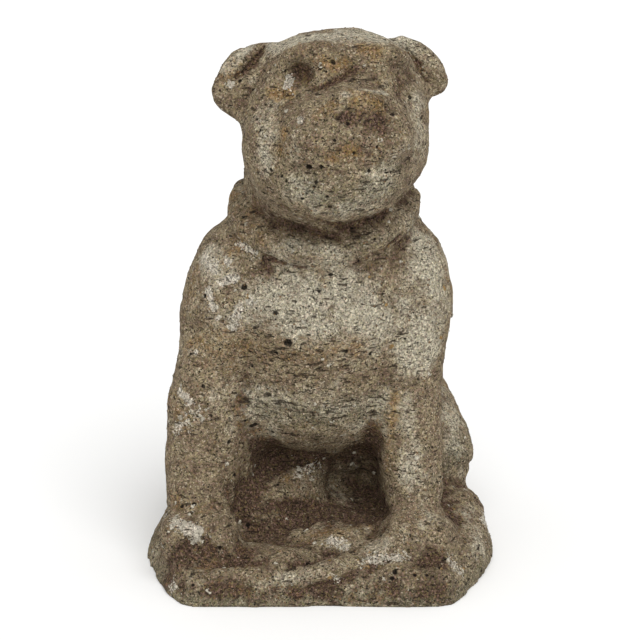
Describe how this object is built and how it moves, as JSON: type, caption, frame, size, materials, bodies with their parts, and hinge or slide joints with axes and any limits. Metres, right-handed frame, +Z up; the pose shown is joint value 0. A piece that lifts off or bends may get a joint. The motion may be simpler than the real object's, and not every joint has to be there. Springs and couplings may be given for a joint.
{
  "type": "bulldog garden statue",
  "caption": "Sitting bulldog garden statue in weathered cast stone, one solid block with a wide collar, on a low base that stands on a flat surface.",
  "frame": {"origin": "middle of the base's flat underside", "axes": "+Z up through the statue, -Y the way the dog faces, +X the dog's left side"},
  "size_m": [0.2671, 0.2858, 0.4047],
  "materials": {
    "cast_stone": "rough weathered cast stone with air pits, lichen and dark patina"
  },
  "bodies": {
    "root": {"bulldog_statue": "cast_stone"}
  },
  "joints": []
}
